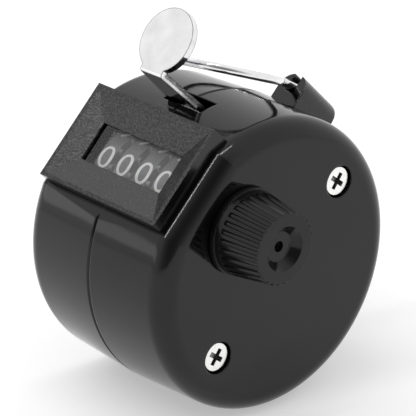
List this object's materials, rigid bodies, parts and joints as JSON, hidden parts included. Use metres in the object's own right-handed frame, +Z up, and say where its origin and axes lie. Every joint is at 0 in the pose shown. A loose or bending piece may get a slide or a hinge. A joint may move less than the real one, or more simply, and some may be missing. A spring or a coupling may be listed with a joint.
{
  "type": "hand tally counter",
  "caption": "Round hand tally counter with number wheels behind a window, a thumb lever that counts, a knob that resets and a wire finger ring.",
  "frame": {"origin": "centre of the flat left face, on the axis of the round case", "axes": "+X along the wheel shaft towards the knob, +Y to the back, where the ring is, +Z up"},
  "size_m": [0.0383, 0.0451, 0.0574],
  "materials": {
    "case_black": "polished moulded plastic",
    "knob_black": "moulded plastic, slightly worn flutes",
    "textured_black": "spark-textured moulded plastic",
    "bracket_black": "satin moulded plastic",
    "lens": "clear plastic sheet",
    "wheel_grey": "dark grey with white digits",
    "steel": "plain steel",
    "zinc": "bright zinc plate",
    "brass": "stamped brass",
    "chrome": "bright chrome plate",
    "inner_plastic": "natural moulded plastic"
  },
  "bodies": {
    "case": {"left_case": "case_black", "right_case": "case_black", "bezel": "textured_black", "window_lens": "lens", "mechanism_frame": "steel", "pinion_shaft": "steel", "shaft_bush": "brass", "lever_pin": "steel", "check_pawl_pin": "steel", "check_pawl_spring": "steel", "case_screws": "zinc", "ring_bracket": "bracket_black"},
    "knob": {"reset_knob": "knob_black", "main_shaft": "steel", "shaft_clip": "steel"},
    "units": {"wheel_units": "wheel_grey", "ratchet_wheel": "inner_plastic"},
    "tens": {"wheel_tens": "wheel_grey"},
    "hundreds": {"wheel_hundreds": "wheel_grey"},
    "thousands": {"wheel_thousands": "wheel_grey"},
    "pinion_a": {"pinion_tens": "inner_plastic"},
    "pinion_b": {"pinion_hundreds": "inner_plastic"},
    "pinion_c": {"pinion_thousands": "inner_plastic"},
    "lever": {"thumb_lever": "chrome", "lever_spring": "steel", "drive_pawl_pin": "steel"},
    "drive_pawl": {"drive_pawl": "brass"},
    "check_pawl": {"check_pawl": "brass"},
    "ring": {"finger_ring": "chrome"}
  },
  "joints": [
    {"name": "knob_turn", "type": "hinge", "parent": "case", "child": "knob", "pos_m": [0.015, -0.00672, 0.00771], "axis": [1, 0, 0], "continuous": true},
    {"name": "units_turn", "type": "hinge", "parent": "case", "child": "units", "pos_m": [0.015, -0.00672, 0.00771], "axis": [1, 0, 0], "continuous": true},
    {"name": "tens_turn", "type": "hinge", "parent": "case", "child": "tens", "pos_m": [0.015, -0.00672, 0.00771], "axis": [1, 0, 0], "continuous": true},
    {"name": "hundreds_turn", "type": "hinge", "parent": "case", "child": "hundreds", "pos_m": [0.015, -0.00672, 0.00771], "axis": [1, 0, 0], "continuous": true},
    {"name": "thousands_turn", "type": "hinge", "parent": "case", "child": "thousands", "pos_m": [0.015, -0.00672, 0.00771], "axis": [1, 0, 0], "continuous": true},
    {"name": "pinion_tens_turn", "type": "hinge", "parent": "case", "child": "pinion_a", "pos_m": [0.015, 0.0013, -0.00031], "axis": [1, 0, 0], "continuous": true},
    {"name": "pinion_hundreds_turn", "type": "hinge", "parent": "case", "child": "pinion_b", "pos_m": [0.015, 0.0013, -0.00031], "axis": [1, 0, 0], "continuous": true},
    {"name": "pinion_thousands_turn", "type": "hinge", "parent": "case", "child": "pinion_c", "pos_m": [0.015, 0.0013, -0.00031], "axis": [1, 0, 0], "continuous": true},
    {"name": "lever_press", "type": "hinge", "parent": "case", "child": "lever", "pos_m": [0.015, -0.00405, 0.01766], "axis": [-1, 0, 0], "range_deg": [0, 16], "stiffness_Nm_per_rad": 0.03, "springref_deg": -5.73},
    {"name": "drive_pawl_swing", "type": "hinge", "parent": "lever", "child": "drive_pawl", "pos_m": [0.015, 0.00622, 0.01216], "axis": [1, 0, 0], "range_deg": [-6, 6], "stiffness_Nm_per_rad": 0.0005},
    {"name": "check_pawl_swing", "type": "hinge", "parent": "case", "child": "check_pawl", "pos_m": [0.015, -0.00898, -0.00049], "axis": [1, 0, 0], "range_deg": [0, 12], "stiffness_Nm_per_rad": 0.0005, "springref_deg": -1.15},
    {"name": "ring_swing", "type": "hinge", "parent": "case", "child": "ring", "pos_m": [0.015, 0.01711, 0.01838], "axis": [-1, 0, 0], "range_deg": [0, 105]}
  ],
  "couplings": [
    {"joint": "tens_turn", "follows": "units_turn", "ratio": 0.1},
    {"joint": "hundreds_turn", "follows": "units_turn", "ratio": 0.01},
    {"joint": "thousands_turn", "follows": "units_turn", "ratio": 0.001},
    {"joint": "pinion_tens_turn", "follows": "units_turn", "ratio": -0.25},
    {"joint": "pinion_hundreds_turn", "follows": "units_turn", "ratio": -0.025},
    {"joint": "pinion_thousands_turn", "follows": "units_turn", "ratio": -0.0025}
  ]
}
